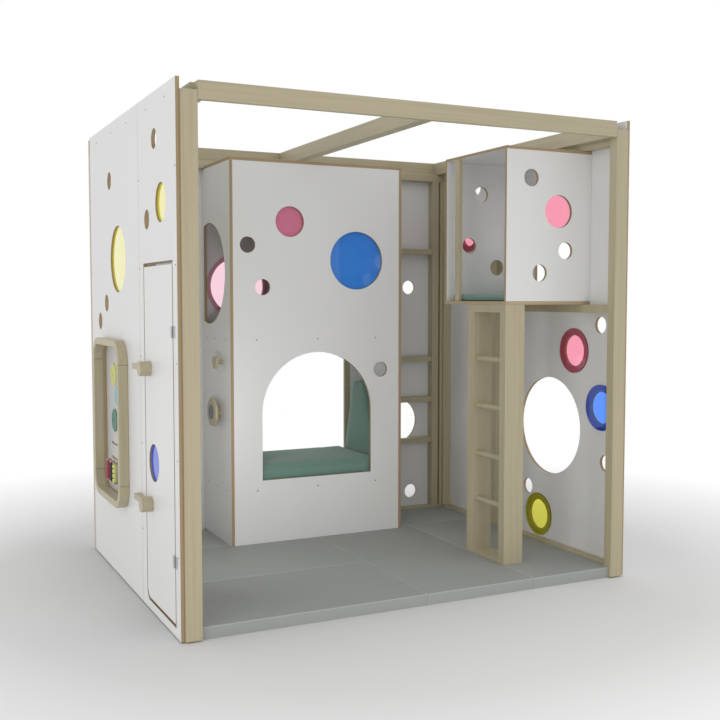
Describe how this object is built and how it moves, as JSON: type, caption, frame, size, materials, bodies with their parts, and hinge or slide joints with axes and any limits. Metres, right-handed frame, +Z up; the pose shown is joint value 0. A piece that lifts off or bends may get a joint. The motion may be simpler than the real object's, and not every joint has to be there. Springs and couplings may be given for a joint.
{
  "type": "indoor playhouse",
  "caption": "Indoor playhouse of timber beams and white panels with a cabin nook, raised loft, ladder, door, busy board, round tinted windows and padded floor.",
  "frame": {"origin": "middle of the footprint on the floor, on the underside of the mats", "axes": "+Z up, +Y to the back wall, +X to the right as seen from the open front"},
  "size_m": [2.4693, 1.855, 2.4],
  "materials": {
    "pale_wood": "clear satin lacquer on pale solid timber",
    "plywood": "clear satin lacquer on plywood",
    "white_panel": "white satin laminate with bare plywood edges",
    "grey_metal": "satin",
    "pink_acrylic": "polished tinted acrylic",
    "blue_acrylic": "polished tinted acrylic",
    "yellow_acrylic": "polished tinted acrylic",
    "grey_mat": "fine ribbed matt foam",
    "green_fabric": "plain woven upholstery",
    "yellow_plastic": "satin",
    "cyan_plastic": "satin",
    "green_plastic": "satin",
    "red_plastic": "satin",
    "lime_plastic": "satin"
  },
  "bodies": {
    "playhouse_frame": {"post_front_left": "pale_wood", "post_front_right": "pale_wood", "post_rear_left": "pale_wood", "post_rear_right": "pale_wood", "beam_front": "pale_wood", "beam_rear": "pale_wood", "beam_left": "pale_wood", "beam_right": "pale_wood", "beam_middle": "pale_wood", "left_wall_frame": "pale_wood", "right_wall_frame": "pale_wood", "back_wall_frame": "pale_wood", "nook_back_frame": "pale_wood", "loft_batten": "pale_wood", "loft_ladder": "pale_wood", "busy_board_frame": "pale_wood", "cabin_peg": "pale_wood", "left_front_panel": "white_panel", "left_rear_panel": "white_panel", "right_wall_panel": "white_panel", "back_wall_panel": "white_panel", "cabin_front_panel": "white_panel", "cabin_left_panel": "white_panel", "cabin_right_panel": "white_panel", "cabin_roof": "white_panel", "loft_front_panel": "white_panel", "loft_back_panel": "white_panel", "loft_roof": "white_panel", "busy_board_plate": "white_panel", "cabin_shelf": "plywood", "seat_board": "plywood", "loft_floor": "plywood", "wall_hinge_lower": "grey_metal", "wall_hinge_upper": "grey_metal", "window_right_pink": "pink_acrylic", "window_right_rear_pink": "pink_acrylic", "window_cabin_pink": "pink_acrylic", "window_back_pink": "pink_acrylic", "window_loft_pink": "pink_acrylic", "window_right_blue": "blue_acrylic", "window_cabin_blue": "blue_acrylic", "window_right_yellow": "yellow_acrylic", "window_left_rear_yellow": "yellow_acrylic", "window_left_front_yellow": "yellow_acrylic", "floor_mats": "grey_mat", "seat_cushion": "green_fabric", "backrest_cushion": "green_fabric", "loft_cushion": "green_fabric"},
    "door": {"door_panel": "white_panel", "window_door_blue": "blue_acrylic", "door_hinge_lower": "grey_metal", "door_hinge_upper": "grey_metal"},
    "lower_latch": {"latch_lower": "pale_wood"},
    "upper_latch": {"latch_upper": "pale_wood"},
    "turning_knob": {"cabin_knob": "pale_wood"},
    "yellow_disc": {"spinner_yellow": "yellow_plastic"},
    "cyan_disc": {"spinner_cyan": "cyan_plastic"},
    "green_disc": {"spinner_green": "green_plastic"},
    "beads": {"busy_board_beads": "red_plastic"},
    "slider": {"busy_board_slider": "lime_plastic"}
  },
  "joints": [
    {"name": "door_swing", "type": "hinge", "parent": "playhouse_frame", "child": "door", "pos_m": [-1.2135, -0.8395, 0.8435], "axis": [0, 0, 1], "range_deg": [0, 110]},
    {"name": "lower_latch_turn", "type": "hinge", "parent": "door", "child": "lower_latch", "pos_m": [-1.2075, -0.4445, 0.521], "axis": [1, 0, 0], "range_deg": [0, 90]},
    {"name": "upper_latch_turn", "type": "hinge", "parent": "door", "child": "upper_latch", "pos_m": [-1.2075, -0.4445, 1.155], "axis": [1, 0, 0], "range_deg": [0, 90]},
    {"name": "knob_turn", "type": "hinge", "parent": "playhouse_frame", "child": "turning_knob", "pos_m": [-0.5378, 0.5905, 0.815], "axis": [1, 0, 0], "continuous": true},
    {"name": "yellow_disc_turn", "type": "hinge", "parent": "playhouse_frame", "child": "yellow_disc", "pos_m": [-1.1895, 0.4165, 1.067], "axis": [1, 0, 0], "continuous": true},
    {"name": "cyan_disc_turn", "type": "hinge", "parent": "playhouse_frame", "child": "cyan_disc", "pos_m": [-1.1895, 0.3185, 0.957], "axis": [1, 0, 0], "continuous": true},
    {"name": "green_disc_turn", "type": "hinge", "parent": "playhouse_frame", "child": "green_disc", "pos_m": [-1.1895, 0.4015, 0.82], "axis": [1, 0, 0], "continuous": true},
    {"name": "beads_turn", "type": "hinge", "parent": "playhouse_frame", "child": "beads", "pos_m": [-1.2045, 0.5155, 0.5355], "axis": [0, 0, 1], "continuous": true},
    {"name": "slider_travel", "type": "slide", "parent": "playhouse_frame", "child": "slider", "axis": [0, 1, 0], "range_m": [0, 0.22]}
  ]
}
